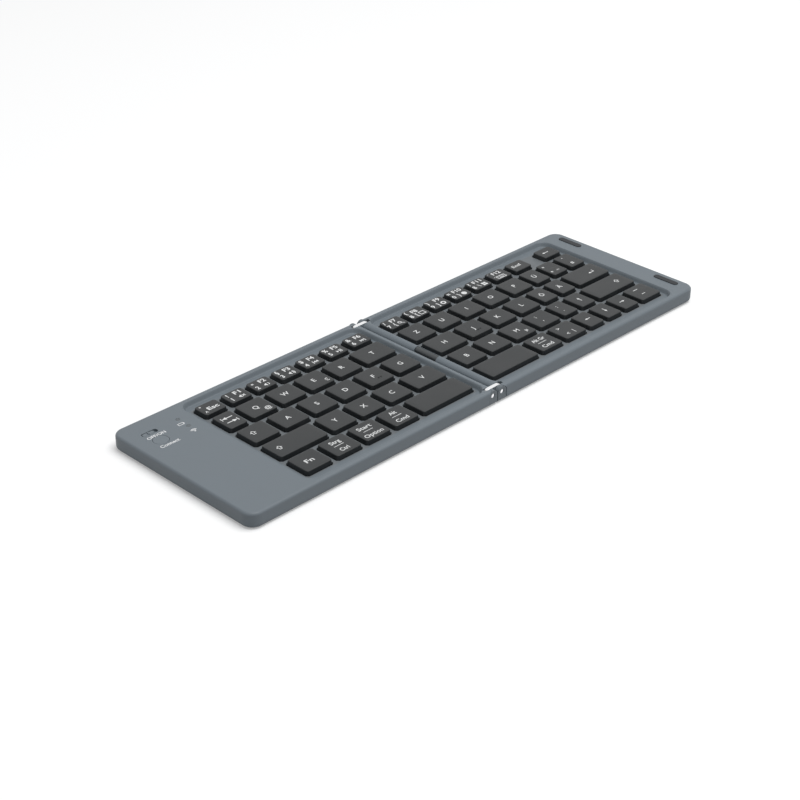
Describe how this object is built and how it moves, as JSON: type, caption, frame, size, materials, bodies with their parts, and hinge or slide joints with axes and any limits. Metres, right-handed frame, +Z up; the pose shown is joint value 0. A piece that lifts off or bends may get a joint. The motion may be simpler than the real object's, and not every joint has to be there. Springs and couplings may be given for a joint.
{
  "type": "folding keyboard",
  "caption": "Flat wireless keyboard in two halves joined by a double-pin hinge, with low keys in a recessed well, a blank control panel, a slide switch and a round button.",
  "frame": {"origin": "on the table, under the middle of the fold line, keyboard opened flat", "axes": "+X along the right half, +Y from the user to the function row, +Z up"},
  "size_m": [0.304, 0.096, 0.0086],
  "materials": {
    "top_case": "fine matt moulding, blue grey",
    "bottom_cover": "fine matt moulding, blue grey",
    "keycap": "satin black-grey, printed with plain white legends",
    "plate": "stamped steel sheet",
    "membrane": "printed film",
    "dome": "translucent silicone",
    "scissor": "white nylon",
    "magnet": "nickelled",
    "foot": "soft black rubber",
    "screw": "blackened steel",
    "hinge_ear": "painted to match the case",
    "pin": "polished",
    "link": "polished",
    "battery": "foil pouch",
    "board": "green circuit board",
    "socket": "drawn steel shell",
    "switch_body": "moulded",
    "lamp": "clear epoxy",
    "light_pipe": "clear moulding, matt face",
    "flex": "black covered film",
    "pad": "soft matt rubber",
    "guard": "black moulding",
    "control": "fine matt moulding, blue grey"
  },
  "bodies": {
    "left_half": {"left_top_case": "top_case", "left_key_frame": "top_case", "left_bottom_cover": "bottom_cover", "left_key_plate": "plate", "left_membrane": "membrane", "left_domes": "dome", "left_scissors": "scissor", "left_magnets": "magnet", "left_feet": "foot", "left_screws": "screw", "left_hinge_brackets": "hinge_ear", "left_hinge_pins": "pin", "battery": "battery", "controller_board": "board", "charging_socket": "socket", "power_switch": "switch_body", "connect_switch": "switch_body", "indicator_lamps": "lamp", "light_pipes": "light_pipe", "flex_cable": "flex"},
    "right_half": {"right_top_case": "top_case", "right_key_frame": "top_case", "right_bottom_cover": "bottom_cover", "right_key_plate": "plate", "right_membrane": "membrane", "right_domes": "dome", "right_scissors": "scissor", "right_magnets": "magnet", "right_feet": "foot", "right_screws": "screw", "right_hinge_brackets": "hinge_ear", "right_hinge_pins": "pin", "rubber_pads": "pad", "flex_guard": "guard"},
    "front_link": {"front_hinge_link": "link"},
    "rear_link": {"rear_hinge_link": "link"},
    "power_slider": {"power_slider": "control"},
    "connect_button": {"connect_button": "control"},
    "left_function_keys": {"left_function_keys": "keycap"},
    "left_upper_keys": {"left_upper_keys": "keycap"},
    "left_home_keys": {"left_home_keys": "keycap"},
    "left_lower_keys": {"left_lower_keys": "keycap"},
    "left_modifier_keys": {"left_modifier_keys": "keycap"},
    "escape_key": {"escape_key": "keycap"},
    "tab_key": {"tab_key": "keycap"},
    "caps_lock_key": {"caps_lock_key": "keycap"},
    "left_shift_key": {"left_shift_key": "keycap"},
    "left_space_key": {"left_space_key": "keycap"},
    "right_function_keys": {"right_function_keys": "keycap"},
    "right_upper_keys": {"right_upper_keys": "keycap"},
    "right_home_keys": {"right_home_keys": "keycap"},
    "right_lower_keys": {"right_lower_keys": "keycap"},
    "right_modifier_keys": {"right_modifier_keys": "keycap"},
    "arrow_keys": {"arrow_keys": "keycap"},
    "backspace_key": {"backspace_key": "keycap"},
    "enter_key": {"enter_key": "keycap"},
    "right_shift_key": {"right_shift_key": "keycap"},
    "right_space_key": {"right_space_key": "keycap"}
  },
  "joints": [
    {"name": "front_link_hinge", "type": "hinge", "parent": "left_half", "child": "front_link", "pos_m": [-0.0031, -0.04445, 0.00535], "axis": [0, -1, 0], "range_deg": [0, 90], "deforming": ["flex_cable"]},
    {"name": "fold_hinge", "type": "hinge", "parent": "front_link", "child": "right_half", "pos_m": [0.0031, -0.04445, 0.00535], "axis": [0, -1, 0], "range_deg": [0, 90], "deforming": ["flex_cable"]},
    {"name": "rear_link_hinge", "type": "hinge", "parent": "left_half", "child": "rear_link", "pos_m": [-0.0031, 0.04445, 0.00535], "axis": [0, -1, 0], "range_deg": [0, 90]},
    {"name": "power_slide", "type": "slide", "parent": "left_half", "child": "power_slider", "axis": [1, 0, 0], "range_m": [0, 0.0014]},
    {"name": "connect_press", "type": "slide", "parent": "left_half", "child": "connect_button", "axis": [0, 0, -1], "range_m": [0, 0.0004], "stiffness_N_per_m": 300, "springref_m": -0.0005},
    {"name": "left_function_keys_press", "type": "slide", "parent": "left_half", "child": "left_function_keys", "axis": [0, 0, -1], "range_m": [0, 0.0015], "stiffness_N_per_m": 400, "springref_m": -0.0005, "deforming": ["left_domes", "left_scissors"]},
    {"name": "left_upper_keys_press", "type": "slide", "parent": "left_half", "child": "left_upper_keys", "axis": [0, 0, -1], "range_m": [0, 0.0015], "stiffness_N_per_m": 400, "springref_m": -0.0005, "deforming": ["left_domes", "left_scissors"]},
    {"name": "left_home_keys_press", "type": "slide", "parent": "left_half", "child": "left_home_keys", "axis": [0, 0, -1], "range_m": [0, 0.0015], "stiffness_N_per_m": 400, "springref_m": -0.0005, "deforming": ["left_domes", "left_scissors"]},
    {"name": "left_lower_keys_press", "type": "slide", "parent": "left_half", "child": "left_lower_keys", "axis": [0, 0, -1], "range_m": [0, 0.0015], "stiffness_N_per_m": 400, "springref_m": -0.0005, "deforming": ["left_domes", "left_scissors"]},
    {"name": "left_modifier_keys_press", "type": "slide", "parent": "left_half", "child": "left_modifier_keys", "axis": [0, 0, -1], "range_m": [0, 0.0015], "stiffness_N_per_m": 400, "springref_m": -0.0005, "deforming": ["left_domes", "left_scissors"]},
    {"name": "escape_key_press", "type": "slide", "parent": "left_half", "child": "escape_key", "axis": [0, 0, -1], "range_m": [0, 0.0015], "stiffness_N_per_m": 400, "springref_m": -0.0005, "deforming": ["left_domes", "left_scissors"]},
    {"name": "tab_key_press", "type": "slide", "parent": "left_half", "child": "tab_key", "axis": [0, 0, -1], "range_m": [0, 0.0015], "stiffness_N_per_m": 400, "springref_m": -0.0005, "deforming": ["left_domes", "left_scissors"]},
    {"name": "caps_lock_key_press", "type": "slide", "parent": "left_half", "child": "caps_lock_key", "axis": [0, 0, -1], "range_m": [0, 0.0015], "stiffness_N_per_m": 400, "springref_m": -0.0005, "deforming": ["left_domes", "left_scissors"]},
    {"name": "left_shift_key_press", "type": "slide", "parent": "left_half", "child": "left_shift_key", "axis": [0, 0, -1], "range_m": [0, 0.0015], "stiffness_N_per_m": 400, "springref_m": -0.0005, "deforming": ["left_domes", "left_scissors"]},
    {"name": "left_space_key_press", "type": "slide", "parent": "left_half", "child": "left_space_key", "axis": [0, 0, -1], "range_m": [0, 0.0015], "stiffness_N_per_m": 400, "springref_m": -0.0005, "deforming": ["left_domes", "left_scissors"]},
    {"name": "right_function_keys_press", "type": "slide", "parent": "right_half", "child": "right_function_keys", "axis": [0, 0, -1], "range_m": [0, 0.0015], "stiffness_N_per_m": 400, "springref_m": -0.0005, "deforming": ["right_domes", "right_scissors"]},
    {"name": "right_upper_keys_press", "type": "slide", "parent": "right_half", "child": "right_upper_keys", "axis": [0, 0, -1], "range_m": [0, 0.0015], "stiffness_N_per_m": 400, "springref_m": -0.0005, "deforming": ["right_domes", "right_scissors"]},
    {"name": "right_home_keys_press", "type": "slide", "parent": "right_half", "child": "right_home_keys", "axis": [0, 0, -1], "range_m": [0, 0.0015], "stiffness_N_per_m": 400, "springref_m": -0.0005, "deforming": ["right_domes", "right_scissors"]},
    {"name": "right_lower_keys_press", "type": "slide", "parent": "right_half", "child": "right_lower_keys", "axis": [0, 0, -1], "range_m": [0, 0.0015], "stiffness_N_per_m": 400, "springref_m": -0.0005, "deforming": ["right_domes", "right_scissors"]},
    {"name": "right_modifier_keys_press", "type": "slide", "parent": "right_half", "child": "right_modifier_keys", "axis": [0, 0, -1], "range_m": [0, 0.0015], "stiffness_N_per_m": 400, "springref_m": -0.0005, "deforming": ["right_domes", "right_scissors"]},
    {"name": "arrow_keys_press", "type": "slide", "parent": "right_half", "child": "arrow_keys", "axis": [0, 0, -1], "range_m": [0, 0.0015], "stiffness_N_per_m": 400, "springref_m": -0.0005, "deforming": ["right_domes", "right_scissors"]},
    {"name": "backspace_key_press", "type": "slide", "parent": "right_half", "child": "backspace_key", "axis": [0, 0, -1], "range_m": [0, 0.0015], "stiffness_N_per_m": 400, "springref_m": -0.0005, "deforming": ["right_domes", "right_scissors"]},
    {"name": "enter_key_press", "type": "slide", "parent": "right_half", "child": "enter_key", "axis": [0, 0, -1], "range_m": [0, 0.0015], "stiffness_N_per_m": 400, "springref_m": -0.0005, "deforming": ["right_domes", "right_scissors"]},
    {"name": "right_shift_key_press", "type": "slide", "parent": "right_half", "child": "right_shift_key", "axis": [0, 0, -1], "range_m": [0, 0.0015], "stiffness_N_per_m": 400, "springref_m": -0.0005, "deforming": ["right_domes", "right_scissors"]},
    {"name": "right_space_key_press", "type": "slide", "parent": "right_half", "child": "right_space_key", "axis": [0, 0, -1], "range_m": [0, 0.0015], "stiffness_N_per_m": 400, "springref_m": -0.0005, "deforming": ["right_domes", "right_scissors"]}
  ],
  "couplings": [
    {"joint": "rear_link_hinge", "follows": "front_link_hinge", "ratio": 1}
  ]
}
